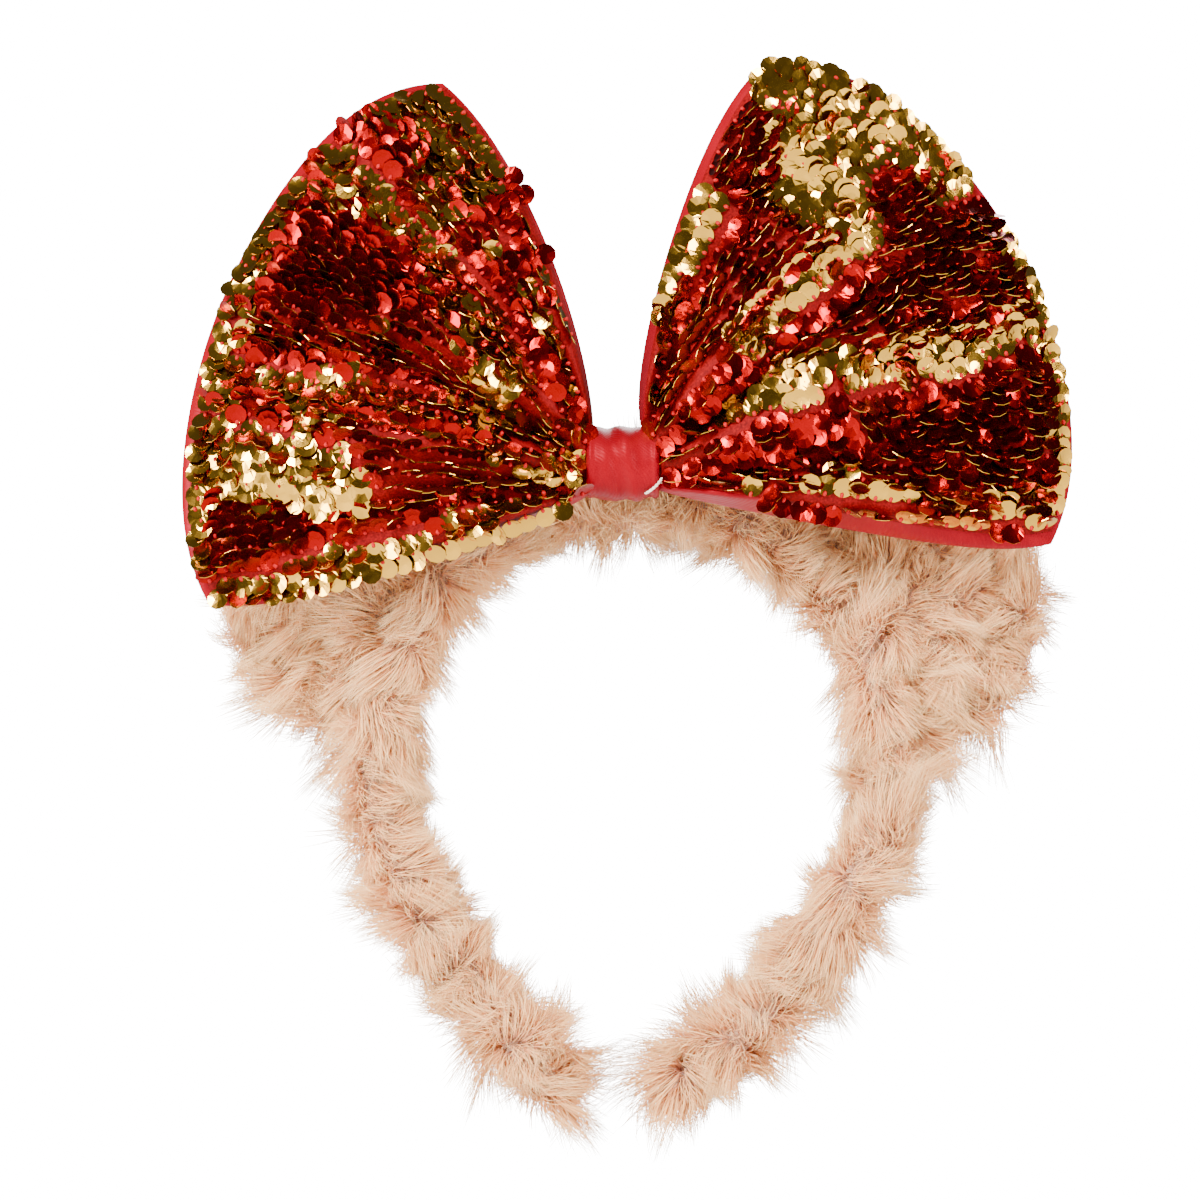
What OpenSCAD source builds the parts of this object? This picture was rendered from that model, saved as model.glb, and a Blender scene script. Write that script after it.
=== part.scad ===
// Animal ears headband: a plush covered horseshoe band, two round ears and a large sequined bow.
// The origin is the head side of the pile at the crown. +Z is up and -Y is the front.

/* [Band] */
// Radius of the crown arc at the middle of the strip
crown_r = 61; // [59:0.5:63]
// How far past horizontal the crown arc runs before each leg
shoulder_deg = 29.5; // [26:0.5:32]
// Sideways lean of the two legs
lean_deg = 3; // [0:0.5:4]
// Radius of each leg's gentler curve
leg_r = 220; // [180:10:300]
// Length of each leg
leg_len = 62; // [56:1:66]
// Thickness of the plastic strip
strip_t = 2; // [1.6:0.2:2.4]
// Width of the plastic strip, front to back
strip_w = 12; // [10:1:13]
// Thickness of the foam wrap
foam_t = 1.4; // [1:0.2:1.6]
// Radial thickness of the plush sleeve over its pile
sleeve_t = 20; // [18:1:21]
// Width of the plush sleeve over its pile, front to back
sleeve_w = 30; // [28:1:31]

/* [Flex] */
// Angle from the top at which each leg flexes
flex_deg = 35; // [32:1:38]
// How far each leg opens outward
open_deg = 16; // [10:1:16]
// How far each leg closes inward
close_deg = 1.5; // [0.5:0.5:2]

/* [Ears] */
// Radius of an ear over its pile
ear_r = 35; // [32:1:36]
// Thickness of an ear over its pile
ear_t = 23; // [18:1:24]
// Thickness of the plush panels, backing and pile together
ear_skin = 6; // [4:0.5:7]
// Distance of an ear's middle from the middle of the crown arc
ear_out = 75; // [73:1:77]
// Height of an ear's middle above the horizontal, as an angle
ear_deg = 30; // [26:1:34]

/* [Bow] */
// Length of the knot, side to side
knot_len = 17; // [15:1:19]
// Radius of the knot
knot_r = 9; // [8.5:0.25:9.25]
// Middle of the knot, sideways
knot_x = -3; // [-4:0.5:4]
// Middle of the knot, front to back
knot_y = -22.5; // [-25:0.5:-22.5]
// Height of the middle of the knot
knot_z = 18; // [17:0.5:20]
// How far the front of a lobe swells
puff_front = 15; // [8:1:18]
// How far the back of a lobe swells
puff_back = 6; // [3:1:7]
// Height of the gathers next to the knot
pleat_h = 2.5; // [0:0.5:4]

/* [Hidden] */
$fn = 48;

LEFT = -1;
RIGHT = 1;
plush = [0.91, 0.79, 0.68];
satin = [0.80, 0.08, 0.15];
sequin_red = [0.60, 0.02, 0.03];

strip_mid = sleeve_t / 2 + 1;        // height of the strip's middle at the crown
arc_z = strip_mid - crown_r;         // height of the crown arc's middle
leg_deg = leg_len / leg_r * 180 / PI;
slack = 0.25;                        // clearance between the layers of the band
cut_gap = 0.3;                       // half of the gap at each flex line
step = 0.1;                          // how much thinner each stretch of a leg is than the last
lap_deg = 0.5;                       // how far a leg laps the shoulder
foam_out_t = strip_t + 2 * (slack + foam_t);
foam_out_w = strip_w + 2 * (slack + foam_t);
tube_in_t = foam_out_t + 2 * slack;
tube_in_w = foam_out_w + 2 * slack;
ear_cut_r = crown_r + sleeve_t / 2 + 2.2;
far = 400;

function turn(side) = shoulder_deg + side * lean_deg;
function polar(r, a) = [r * cos(a), 0, r * sin(a)];
function mix(a, b, t) = a * (1 - t) + b * t;

// ---- band ----

// Flat strip section with round edges: t is the radial thickness, w the width
module section(t, w) {
    square([t, w - t], center = true);
    for (s = [-1, 1]) translate([0, s * (w - t) / 2]) circle(d = t);
}

// Part of a ring about the Y axis, from angle a to angle b above +X
module ring(r, a, b) {
    rotate([90, 0, 0]) rotate_extrude(start = a, angle = b - a, $fn = 96) translate([r, 0]) children();
}

module crown(t, w) {
    half = flex_deg - cut_gap / crown_r * 180 / PI;
    translate([0, 0, arc_z]) ring(crown_r, 90 - half, 90 + half) section(t, w);
}

// Wedge of space at the flex line, that lets the leg swing out and in
module flex_space() {
    reach = sleeve_t / 2 + 2;
    out_slope = tan(open_deg + 1);
    in_slope = tan(close_deg + 1);
    translate([0, 0, arc_z]) rotate([0, -(90 - flex_deg), 0]) translate([crown_r, 0, 0])
        rotate([90, 0, 0]) linear_extrude(sleeve_w + 4, center = true)
            polygon([
                [-reach, far], [-reach, -cut_gap - reach * in_slope], [0, -cut_gap],
                [reach, -cut_gap - reach * out_slope], [reach, far]
            ]);
}

// Rounded end of a leg, a capsule across the band
module leg_tip(t, w) {
    rotate([90, 0, 0]) cylinder(d = t, h = w - t, center = true);
    for (s = [-1, 1]) translate([0, s * (w - t) / 2, 0]) sphere(d = t);
}

// Shoulder, leg and rounded tip as one rod, from angle top above +X.
// short takes a little off the end. Each stretch is a hair thinner than the one before it.
module leg_rod(side, top, t, w, short) {
    a = -turn(side);
    leg_mid = [0, 0, arc_z] - polar(leg_r - crown_r, a);
    end_deg = leg_deg - short / leg_r * 180 / PI;
    translate([0, 0, arc_z]) ring(crown_r, a, top) section(t, w);
    translate(leg_mid) ring(leg_r, a - end_deg, a + lap_deg) section(t - step, w - step);
    translate(leg_mid + polar(leg_r, a - end_deg)) leg_tip(t - 2 * step, w - 2 * step);
}

// One leg, from the flex line to its tip
module leg(side, t, w, short = 0) {
    mirror([side == LEFT ? 1 : 0, 0, 0]) difference() {
        leg_rod(side, 90 - flex_deg + 1, t, w, short);
        flex_space();
    }
}

// Room inside a leg, open past the flex line
module leg_bore(side, t, w, short) {
    mirror([side == LEFT ? 1 : 0, 0, 0]) leg_rod(side, 90 - flex_deg + 10, t, w, short);
}

module band_strip_crown() { color("ivory") crown(strip_t, strip_w); }
module band_strip(side) { color("ivory") leg(side, strip_t, strip_w, 2 * foam_t); }

module band_foam_crown() {
    color("white") difference() {
        crown(foam_out_t, foam_out_w);
        translate([0, 0, arc_z]) ring(crown_r, 0, 180) section(strip_t + 2 * slack, strip_w + 2 * slack);
    }
}

module band_foam(side) {
    color("white") difference() {
        leg(side, foam_out_t, foam_out_w, foam_t);
        leg_bore(side, strip_t + 2 * slack, strip_w + 2 * slack, 2 * foam_t - slack);
    }
}

// The pile is crushed flat under the felt, so the crown sleeve has a recess there
module felt_recess() {
    translate([knot_x - knot_len / 2 - 3, felt_y - far, knot_z - knot_r - 1])
        cube([knot_len + 6, far + felt_t / 2 + slack, 2 * knot_r + 2]);
}

module plush_sleeve_crown() {
    color(plush) difference() {
        crown(sleeve_t, sleeve_w);
        translate([0, 0, arc_z]) ring(crown_r, 0, 180) section(tube_in_t, tube_in_w);
        felt_recess();
    }
}

module plush_sleeve(side) {
    color(plush) difference() {
        leg(side, sleeve_t, sleeve_w);
        leg_bore(side, tube_in_t, tube_in_w, foam_t - slack);
    }
}

// ---- ears ----

// Half outline of an ear's section, swept about the ear's middle
module ear_lens(r, t) {
    rotate([90, 0, 0]) rotate_extrude($fn = 64)
        polygon([for (a = [-90:9:90]) [max(0, r * pow(cos(a), 0.9)), t / 2 * sin(a)]]);
}

module ear_place(side) {
    mirror([side == LEFT ? 1 : 0, 0, 0]) difference() {
        translate([0, 0, arc_z] + polar(ear_out, ear_deg)) children();
        translate([0, 0, arc_z]) rotate([90, 0, 0]) cylinder(r = ear_cut_r, h = far, center = true, $fn = 128);
    }
}

module ear_panel(side, face) {
    inner_r = ear_r - ear_skin;
    inner_t = ear_t - 2 * ear_skin;
    color(plush) ear_place(side) difference() {
        ear_lens(ear_r, ear_t);
        ear_lens(inner_r, inner_t);
        translate([0, -face * (far / 2 - 0.1), 0]) cube(far, center = true);
    }
}

module ear_stuffing(side) {
    color("white") ear_place(side)
        ear_lens(ear_r - ear_skin - 2 * slack, ear_t - 2 * ear_skin - 2 * slack);
}

// ---- bow ----

lobe_gap = 3;                        // from the knot's end to a lobe's first edge
edge_t = 1.2;                        // thickness where the panels are sewn together
cloth_t = 0.8;
sequin_t = 1.2;
outer_sag = 24;                      // bulge of a lobe's outer edge
felt_t = 2;
felt_y = knot_y + knot_r + 1.3;      // middle of the felt
lobe_rows = 12;
lobe_cols = 18;

// Corners of a lobe in X and Z: its low outer corner and its top
function low_corner(side) = side == LEFT ? [-100, -15] : [96.5, -2];
function top_corner(side) = side == LEFT ? [-48, 109.5] : [37, 113];
// Bulge of the lower and of the inner edge
function low_bulge(side) = side == LEFT ? 4 : 2;
function inner_bulge(side) = side == LEFT ? 8 : 11;

function base_point(side, v) =
    [knot_x + side * (knot_len / 2 + lobe_gap), knot_z + mix(-0.85, 0.85, v) * knot_r];
function outer_point(side, v) =
    let (a = low_corner(side), b = top_corner(side), d = (b - a) / norm(b - a))
    mix(a, b, v) + 4 * outer_sag * v * (1 - v) * [side * d[1], -side * d[0]];
function fan_point(side, u, v) =
    let (a = base_point(side, v), b = outer_point(side, v), d = (b - a) / norm(b - a))
    mix(a, b, u) + 4 * u * (1 - u) * mix(-low_bulge(side), inner_bulge(side), v) * [-side * d[1], side * d[0]];

// 0 along the sewn edges, 1 in the middle of the lobe, and open at the knot
function swell(u, v) = sqrt(max(0, 4 * v * (1 - v))) * sqrt(max(0, 1 - pow(u, 3))) * mix(0.35, 1, sin(90 * min(1, 2 * u)));
function pleat(u, v) = pleat_h * cos(360 * 3 * v) * sin(180 * pow(u, 0.6)) * (1 - u);
function front_y(u, v) = knot_y - 2 - edge_t / 2 - puff_front * swell(u, v) - pleat(u, v);
function back_y(u, v) = knot_y - 2 + edge_t / 2 + puff_back * swell(u, v);

// A closed solid between two sheets, near and far, of a lobe
module lobe_layer(side, near, far_side, inset = 0) {
    function at(i, j, f) =
        let (u = mix(inset / 2, 1 - inset, i / lobe_rows), v = mix(inset, 1 - inset, j / lobe_cols),
             p = fan_point(side, u, v))
        [p[0], f(u, v), p[1]];
    n = (lobe_rows + 1) * (lobe_cols + 1);
    function id(i, j) = i * (lobe_cols + 1) + j;
    pts = [
        for (f = [near, far_side]) for (i = [0:lobe_rows]) for (j = [0:lobe_cols]) at(i, j, f)
    ];
    near_faces = [
        for (i = [0:lobe_rows - 1]) for (j = [0:lobe_cols - 1])
            for (t = [[id(i, j), id(i + 1, j), id(i, j + 1)], [id(i + 1, j), id(i + 1, j + 1), id(i, j + 1)]]) t
    ];
    far_faces = [for (t = near_faces) [t[0] + n, t[2] + n, t[1] + n]];
    rim = concat(
        [for (i = [0:lobe_rows - 1]) id(i, 0)], [for (j = [0:lobe_cols - 1]) id(lobe_rows, j)],
        [for (i = [lobe_rows:-1:1]) id(i, lobe_cols)], [for (j = [lobe_cols:-1:1]) id(0, j)]
    );
    wall = [
        for (k = [0:len(rim) - 1]) let (a = rim[k], b = rim[(k + 1) % len(rim)])
            for (t = [[a, a + n, b], [b, a + n, b + n]]) t
    ];
    shell = concat(near_faces, far_faces, wall);
    polyhedron(pts, side == RIGHT ? shell : [for (t = shell) [t[0], t[2], t[1]]]);
}

module bow_sequins(side) {
    color(sequin_red) lobe_layer(side,
        function (u, v) front_y(u, v) - 2 * cloth_t - sequin_t,
        function (u, v) front_y(u, v) - 2 * cloth_t, 0.02);
}

module bow_mesh(side) {
    color("firebrick") lobe_layer(side,
        function (u, v) front_y(u, v) - cloth_t - slack,
        function (u, v) front_y(u, v) - slack);
}

module bow_filling(side) {
    color("white") lobe_layer(side,
        function (u, v) front_y(u, v) + slack,
        function (u, v) back_y(u, v) - slack);
}

module bow_back(side) {
    color(satin) lobe_layer(side,
        function (u, v) back_y(u, v) + slack,
        function (u, v) back_y(u, v) + slack + cloth_t);
}

gather_r = 5.4;
thread_r = 0.4;
wrap_bore_r = gather_r + 2 * thread_r + 0.4;

module about_knot() {
    translate([knot_x, knot_y, knot_z]) rotate([0, 90, 0]) children();
}

// Satin strip wrapped round the middle of the bow, a barrel with a bore
module knot_wrap() {
    half = knot_len / 2;
    color(satin) about_knot() rotate_extrude($fn = 64)
        polygon(concat(
            [[wrap_bore_r, -half], [wrap_bore_r, half]],
            [for (t = [1:-0.25:-1]) [knot_r - 0.9 * pow(abs(t), 3), t * half]]
        ));
}

// The bow's cloth, gathered small inside the knot
module bow_gather() { color(satin) about_knot() cylinder(r = gather_r, h = knot_len + 2, center = true); }

// Thread wound round the gathers
module gather_thread() {
    turns = 4;
    color("mistyrose") about_knot() for (k = [0:turns - 1])
        translate([0, 0, (k - (turns - 1) / 2) * 2.6 * thread_r])
            rotate_extrude($fn = 48) translate([gather_r + thread_r + 0.1, 0]) circle(r = thread_r, $fn = 16);
}

module backing_felt() {
    h = 2 * knot_r - 2;
    w = knot_len + 3;
    color("beige") translate([knot_x, felt_y, knot_z]) rotate([90, 0, 0])
        linear_extrude(felt_t, center = true) {
            square([w - 4, h], center = true);
            square([w, h - 4], center = true);
            for (x = [-1, 1]) for (z = [-1, 1]) translate([x * (w / 2 - 2), z * (h / 2 - 2)]) circle(r = 2);
        }
}

// Tacking stitches at the ends of the knot, from the felt forward
module tack_stitches() {
    stitch_r = 0.35;
    stitch_len = 3.5;
    color("wheat") for (s = [-1, 1]) for (z = [-6, -4, -2])
        translate([knot_x + s * (knot_len / 2 + 0.6), felt_y - felt_t / 2 - slack - stitch_len, knot_z + z])
            rotate([-90, 0, 0]) cylinder(r = stitch_r, h = stitch_len, $fn = 16);
}

band_strip_crown();
band_strip(LEFT);  // band_strip_left
band_strip(RIGHT);  // band_strip_right
band_foam_crown();
band_foam(LEFT);  // band_foam_left
band_foam(RIGHT);  // band_foam_right
plush_sleeve_crown();
plush_sleeve(LEFT);  // plush_sleeve_left
plush_sleeve(RIGHT);  // plush_sleeve_right
ear_panel(LEFT, -1);  // ear_left_front
ear_panel(LEFT, 1);  // ear_left_back
ear_stuffing(LEFT);  // ear_left_stuffing
ear_panel(RIGHT, -1);  // ear_right_front
ear_panel(RIGHT, 1);  // ear_right_back
ear_stuffing(RIGHT);  // ear_right_stuffing
bow_sequins(LEFT);  // bow_left_sequins
bow_mesh(LEFT);  // bow_left_mesh
bow_filling(LEFT);  // bow_left_filling
bow_back(LEFT);  // bow_left_back
bow_sequins(RIGHT);  // bow_right_sequins
bow_mesh(RIGHT);  // bow_right_mesh
bow_filling(RIGHT);  // bow_right_filling
bow_back(RIGHT);  // bow_right_back
knot_wrap();
bow_gather();
gather_thread();
backing_felt();
tack_stitches();
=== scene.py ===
"""Animal ears headband: plush band and ears, and a large bow of reversible sequins."""
import math

import bpy
import numpy as np
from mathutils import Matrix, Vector, kdtree


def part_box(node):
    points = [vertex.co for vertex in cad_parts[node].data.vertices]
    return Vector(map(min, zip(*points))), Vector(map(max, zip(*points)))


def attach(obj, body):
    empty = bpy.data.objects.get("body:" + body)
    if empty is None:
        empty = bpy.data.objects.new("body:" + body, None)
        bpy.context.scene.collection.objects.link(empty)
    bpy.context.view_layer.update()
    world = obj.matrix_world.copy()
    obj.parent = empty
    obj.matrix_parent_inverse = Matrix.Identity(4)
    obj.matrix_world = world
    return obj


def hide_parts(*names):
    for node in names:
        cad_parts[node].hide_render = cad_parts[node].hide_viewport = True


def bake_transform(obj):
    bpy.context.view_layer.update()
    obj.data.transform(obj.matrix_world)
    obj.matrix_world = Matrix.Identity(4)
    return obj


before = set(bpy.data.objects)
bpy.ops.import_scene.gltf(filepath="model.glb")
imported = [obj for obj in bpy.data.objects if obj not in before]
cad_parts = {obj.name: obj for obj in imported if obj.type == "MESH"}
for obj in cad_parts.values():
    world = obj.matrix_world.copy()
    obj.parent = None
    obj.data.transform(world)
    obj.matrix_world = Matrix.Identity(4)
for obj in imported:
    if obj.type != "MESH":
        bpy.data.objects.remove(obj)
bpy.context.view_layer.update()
MM = 0.001
LEFT, RIGHT = -1, 1
SIDE_NAME = {LEFT: "left", RIGHT: "right"}


# ---------------------------------------------------------------- small helpers

def unit(a):
    """Rows of a, each made one long."""
    return a / np.maximum(np.linalg.norm(a, axis=-1, keepdims=True), 1e-12)


def smooth(a, b, x):
    """0 below a, 1 above b, and smooth between."""
    t = np.clip((np.asarray(x, float) - a) / (b - a), 0, 1)
    return t * t * (3 - 2 * t)


class Noise:
    """Smooth noise in space: a sum of seeded sine waves with wavelengths near size."""

    def __init__(self, seed, size, waves=14):
        rng = np.random.default_rng(seed)
        direction = unit(rng.normal(size=(waves, 3)))
        self.k = direction * (2 * math.pi / (size * rng.uniform(0.7, 1.6, (waves, 1))))
        self.phase = rng.uniform(0, 2 * math.pi, waves)
        self.gain = math.sqrt(2 / waves)

    def __call__(self, p):
        return np.sin(np.asarray(p) @ self.k.T + self.phase).sum(-1) * self.gain


def mesh_object(name, verts, faces, material, uv=None, face_slots=None, shade_smooth=True):
    """A mesh object. uv is one pair for each face corner, in a layer named OFBake."""
    mesh = bpy.data.meshes.new(name)
    mesh.from_pydata(verts, [], faces)
    for m in material if isinstance(material, (list, tuple)) else [material]:
        mesh.materials.append(m)
    if uv is not None:
        layer = mesh.uv_layers.new(name="OFBake")
        layer.data.foreach_set("uv", np.asarray(uv, np.float32).ravel())
    if face_slots is not None:
        mesh.polygons.foreach_set("material_index", np.asarray(face_slots, np.int32))
    mesh.polygons.foreach_set("use_smooth", np.full(len(mesh.polygons), shade_smooth))
    mesh.update()
    obj = bpy.data.objects.new(name, mesh)
    bpy.context.scene.collection.objects.link(obj)
    return obj


def grid_faces(rows, cols, closed=False, start=0):
    """Quads of a rows x cols grid of points. closed joins the last column to the first."""
    i = np.arange(rows - 1)[:, None]
    j = np.arange(cols if closed else cols - 1)[None, :]
    k = (j + 1) % cols
    quads = np.stack([i * cols + j, i * cols + k, (i + 1) * cols + k, (i + 1) * cols + j], -1)
    return quads.reshape(-1, 4) + start


# ---------------------------------------------------------------- materials

def shader(name, color, rough=0.5, metal=0.0):
    """A Principled material, with its nodes, links and shader."""
    mat = bpy.data.materials.new(name)
    mat.use_nodes = True
    bsdf = mat.node_tree.nodes["Principled BSDF"]
    bsdf.inputs["Base Color"].default_value = (*color, 1)
    bsdf.inputs["Roughness"].default_value = rough
    bsdf.inputs["Metallic"].default_value = metal
    return mat, mat.node_tree.nodes, mat.node_tree.links, bsdf


def ramp(nodes, links, source, stops):
    """A colour ramp over source. stops are (place, linear colour) pairs."""
    node = nodes.new("ShaderNodeValToRGB")
    element = node.color_ramp.elements
    while len(element) < len(stops):
        element.new(0.5)
    for e, (place, color) in zip(element, stops):
        e.position = place
        e.color = (*color, 1)
    links.new(source, node.inputs["Fac"])
    return node.outputs["Color"]


def uv_parts(nodes, links):
    """The vector of the OFBake layer, and its two parts."""
    uv = nodes.new("ShaderNodeUVMap")
    uv.uv_map = "OFBake"
    parts = nodes.new("ShaderNodeSeparateXYZ")
    links.new(uv.outputs["UV"], parts.inputs["Vector"])
    return uv.outputs["UV"], parts.outputs["X"], parts.outputs["Y"]


def bump(nodes, links, bsdf, height, strength, distance):
    node = nodes.new("ShaderNodeBump")
    node.inputs["Strength"].default_value = strength
    node.inputs["Distance"].default_value = distance
    links.new(height, node.inputs["Height"])
    links.new(node.outputs["Normal"], bsdf.inputs["Normal"])


def noise_node(nodes, links, vector, scale, detail=3.0):
    node = nodes.new("ShaderNodeTexNoise")
    node.inputs["Scale"].default_value = scale
    node.inputs["Detail"].default_value = detail
    if vector is not None:
        links.new(vector, node.inputs["Vector"])
    return node.outputs["Fac"]


def fur_material():
    """Pile: dark at the root and pale at the tip, with each fibre a little different."""
    mat, nodes, links, bsdf = shader("plush_pile", (0.8, 0.6, 0.43), 0.62)
    bsdf.inputs["Sheen Weight"].default_value = 0.25
    bsdf.inputs["Sheen Roughness"].default_value = 0.5
    bsdf.inputs["Specular IOR Level"].default_value = 0.3
    _, across, along = uv_parts(nodes, links)
    body = ramp(nodes, links, along, [
        (0.0, (0.56, 0.18, 0.045)), (0.25, (0.85, 0.36, 0.115)), (0.6, (0.97, 0.52, 0.195)),
        (1.0, (0.99, 0.66, 0.31))])
    tint = ramp(nodes, links, across, [
        (0.0, (0.86, 0.80, 0.74)), (0.4, (1.0, 0.97, 0.93)), (0.8, (1.0, 1.0, 1.0)),
        (1.0, (1.12, 1.1, 1.08))])
    mix = nodes.new("ShaderNodeMix")
    mix.data_type = "RGBA"
    mix.blend_type = "MULTIPLY"
    mix.inputs["Factor"].default_value = 1.0
    links.new(body, mix.inputs["A"])
    links.new(tint, mix.inputs["B"])
    links.new(mix.outputs["Result"], bsdf.inputs["Base Color"])
    return mat


def fabric_material(name, low, high, scale, rough=0.85, strength=0.35, sheen=0.2):
    """A matt woven or felted cloth, mottled between two colours."""
    mat, nodes, links, bsdf = shader(name, low, rough)
    bsdf.inputs["Sheen Weight"].default_value = sheen
    bsdf.inputs["Specular IOR Level"].default_value = 0.08
    coords = nodes.new("ShaderNodeTexCoord").outputs["Object"]
    fine = noise_node(nodes, links, coords, scale, 6.0)
    links.new(ramp(nodes, links, fine, [(0.3, low), (0.7, high)]), bsdf.inputs["Base Color"])
    bump(nodes, links, bsdf, fine, strength, 0.0004)
    return mat


def satin_material():
    """Red satin: a soft sheen over a fine diagonal twill."""
    mat, nodes, links, bsdf = shader("red_satin", (0.18, 0.0002, 0.006), 0.38)
    bsdf.inputs["Sheen Weight"].default_value = 0.05
    bsdf.inputs["Sheen Roughness"].default_value = 0.35
    bsdf.inputs["Sheen Tint"].default_value = (1.0, 0.12, 0.16, 1)
    bsdf.inputs["Specular IOR Level"].default_value = 0.25
    bsdf.inputs["Specular Tint"].default_value = (1.0, 0.10, 0.14, 1)
    coords = nodes.new("ShaderNodeTexCoord").outputs["Object"]
    twill = nodes.new("ShaderNodeTexWave")
    twill.wave_type = "BANDS"
    twill.bands_direction = "DIAGONAL"
    twill.inputs["Scale"].default_value = 620
    twill.inputs["Distortion"].default_value = 1.2
    twill.inputs["Detail"].default_value = 2.0
    links.new(coords, twill.inputs["Vector"])
    cloud = noise_node(nodes, links, coords, 90, 4.0)
    links.new(ramp(nodes, links, cloud, [
        (0.25, (0.17, 0.0001, 0.004)), (0.55, (0.19, 0.0002, 0.005)), (0.8, (0.22, 0.0002, 0.007))]),
        bsdf.inputs["Base Color"])
    bump(nodes, links, bsdf, twill.outputs["Fac"], 0.25, 0.00012)
    return mat


def sequin_material(name, color, rough, coat):
    """Thin metallised film, faintly brushed and dented."""
    mat, nodes, links, bsdf = shader(name, color, rough, 1.0)
    bsdf.inputs["Coat Weight"].default_value = coat
    bsdf.inputs["Coat Roughness"].default_value = 0.08
    vector, _, _ = uv_parts(nodes, links)
    grain = noise_node(nodes, links, vector, 9, 3.0)
    wear = nodes.new("ShaderNodeMapRange")
    wear.inputs["To Min"].default_value = rough * 0.75
    wear.inputs["To Max"].default_value = rough * 1.4
    links.new(grain, wear.inputs["Value"])
    links.new(wear.outputs["Result"], bsdf.inputs["Roughness"])
    bump(nodes, links, bsdf, grain, 0.12, 0.0002)
    return mat


def thread_material(name, low, high):
    return fabric_material(name, low, high, 2500, rough=0.7, strength=0.5, sheen=0.0)


PILE = fur_material()
BACKING = fabric_material("plush_backing", (0.42, 0.21, 0.11), (0.66, 0.42, 0.26), 700)
SATIN = satin_material()
GROUND = fabric_material("sequin_ground", (0.07, 0.0002, 0.0006), (0.20, 0.0005, 0.0016), 1800,
                         rough=0.7, sheen=0.0)
GOLD = sequin_material("sequin_gold", (0.55, 0.29, 0.032), 0.14, 0.0)
RED = sequin_material("sequin_red", (0.25, 0.0003, 0.0014), 0.21, 0.01)
RED_THREAD = thread_material("sequin_thread", (0.28, 0.001, 0.003), (0.50, 0.006, 0.012))
PALE_THREAD = thread_material("tack_thread", (0.74, 0.55, 0.42), (0.90, 0.74, 0.60))
FIBRE = fabric_material("fibre_filling", (0.80, 0.80, 0.79), (0.93, 0.93, 0.92), 500)
FOAM = fabric_material("foam_wrap", (0.72, 0.69, 0.62), (0.86, 0.84, 0.78), 1500)
FELT = fabric_material("felt_pad", (0.40, 0.22, 0.12), (0.54, 0.34, 0.20), 900)
STRIP = fabric_material("strip_plastic", (0.78, 0.75, 0.68), (0.86, 0.84, 0.78), 200,
                        rough=0.4, strength=0.05, sheen=0.0)


# ---------------------------------------------------------------- camera, light and floor

CAMERA_DISTANCE = 1.3
PHOTO_PX = 1200
PX_PER_MM = 4.2                                        # of the photo, from the size of single sequins
FRAME_WIDTH = PHOTO_PX / PX_PER_MM * MM                # what the picture spans at the band


def set_camera():
    """Level, square on to the front, from far enough away for a flat view."""
    cam = bpy.data.cameras.new("camera")
    cam.sensor_width = 36
    cam.lens = 36 * CAMERA_DISTANCE / FRAME_WIDTH
    obj = bpy.data.objects.new("camera", cam)
    obj.location = (-0.0083, -CAMERA_DISTANCE, -0.014)
    obj.rotation_euler = (math.pi / 2, 0, 0)
    bpy.context.scene.collection.objects.link(obj)
    bpy.context.scene.camera = obj


LIGHT_TARGET = Vector((0, 0, 0.02))


def area_light(name, place, size, power):
    """A square soft light of a size in metres and a power in watts, turned to the object."""
    light = bpy.data.lights.new(name, "AREA")
    light.shape = "SQUARE"
    light.size = size
    light.energy = power
    obj = bpy.data.objects.new(name, light)
    obj.location = place
    obj.rotation_euler = (LIGHT_TARGET - Vector(place)).to_track_quat("-Z", "Y").to_euler()
    bpy.context.scene.collection.objects.link(obj)


def set_light():
    """A dim white room, seen by the camera as a bright white backdrop, and five soft lights."""
    world = bpy.data.worlds.new("studio")
    bpy.context.scene.world = world
    world.use_nodes = True
    nodes, links = world.node_tree.nodes, world.node_tree.links
    room = nodes["Background"]
    room.inputs["Color"].default_value = (1, 1, 1, 1)
    room.inputs["Strength"].default_value = 0.12
    seen = nodes.new("ShaderNodeBackground")
    seen.inputs["Color"].default_value = (1, 1, 1, 1)
    seen.inputs["Strength"].default_value = 20.0
    path = nodes.new("ShaderNodeLightPath")
    mix = nodes.new("ShaderNodeMixShader")
    links.new(path.outputs["Is Camera Ray"], mix.inputs["Fac"])
    links.new(room.outputs["Background"], mix.inputs[1])
    links.new(seen.outputs["Background"], mix.inputs[2])
    links.new(mix.outputs["Shader"], nodes["World Output"].inputs["Surface"])
    area_light("key", (-0.55, -1.25, 0.95), 0.45, 78)
    area_light("fill", (1.25, -0.75, 0.25), 0.5, 42)
    area_light("side", (-1.3, -0.55, 0.0), 0.6, 44)
    area_light("low", (0.2, -1.2, -0.95), 0.5, 66)
    area_light("back", (0.2, 1.2, 0.9), 0.8, 24)


def set_floor():
    """A pale round floor, below the picture in the main view."""
    bpy.ops.mesh.primitive_circle_add(vertices=96, radius=1.4, fill_type="NGON", location=(0, 0, -0.36))
    floor = bpy.context.object
    floor.name = "floor"
    floor.data.materials.append(fabric_material(
        "pale_floor", (0.84, 0.84, 0.84), (0.88, 0.88, 0.88), 3, rough=0.9, strength=0.02, sheen=0.0))


set_camera()
set_light()
set_floor()


# ---------------------------------------------------------------- the band's path

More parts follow.
